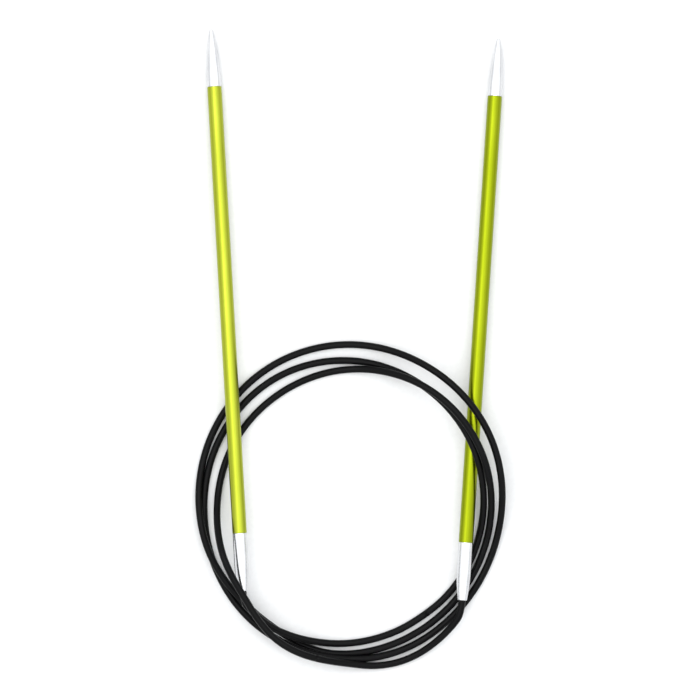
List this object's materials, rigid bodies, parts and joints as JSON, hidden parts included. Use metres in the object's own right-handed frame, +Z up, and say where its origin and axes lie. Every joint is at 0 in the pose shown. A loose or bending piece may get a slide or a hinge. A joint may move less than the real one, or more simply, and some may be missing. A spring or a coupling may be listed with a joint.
{
  "type": "circular knitting needle",
  "caption": "Circular knitting needle: two straight anodised metal needles with bare tapered points, joined by one long thin flexible cable lying in a loose coil.",
  "frame": {"origin": "on the table, under the middle of the box around the two needles", "axes": "+Y along the needles from the ferrules to the points, +Z up from the table, +X from the left needle to the right one"},
  "size_m": [0.0751, 0.1548, 0.0098],
  "materials": {
    "anodised_barrel": "satin anodised",
    "bare_metal": "satin",
    "sleeve_brass": "satin",
    "cable_nylon": "semi gloss"
  },
  "bodies": {
    "cable": {"cable_coil": "cable_nylon", "left_cable_lead": "cable_nylon", "right_cable_lead": "cable_nylon"},
    "left_anchor": {"left_cable_end": "cable_nylon", "left_crimp_sleeve": "sleeve_brass"},
    "left_needle": {"left_point": "bare_metal", "left_barrel": "anodised_barrel", "left_ferrule": "bare_metal"},
    "right_anchor": {"right_cable_end": "cable_nylon", "right_crimp_sleeve": "sleeve_brass"},
    "right_needle": {"right_point": "bare_metal", "right_barrel": "anodised_barrel", "right_ferrule": "bare_metal"}
  },
  "joints": [
    {"name": "left_swing", "type": "hinge", "parent": "cable", "child": "left_anchor", "pos_m": [-0.02699, -0.06717, 0.00652], "axis": [0, 0, 1], "range_deg": [-15, 45]},
    {"name": "left_swivel", "type": "hinge", "parent": "left_anchor", "child": "left_needle", "pos_m": [-0.02702, -0.06667, 0.0065], "axis": [-0.0572, 0.9976, -0.0385], "continuous": true},
    {"name": "right_swing", "type": "hinge", "parent": "cable", "child": "right_anchor", "pos_m": [0.02579, -0.06943, 0.00461], "axis": [0, 0, 1], "range_deg": [-2, 8]},
    {"name": "right_swivel", "type": "hinge", "parent": "right_anchor", "child": "right_needle", "pos_m": [0.02582, -0.06894, 0.0046], "axis": [0.0654, 0.9976, -0.0232], "continuous": true}
  ]
}
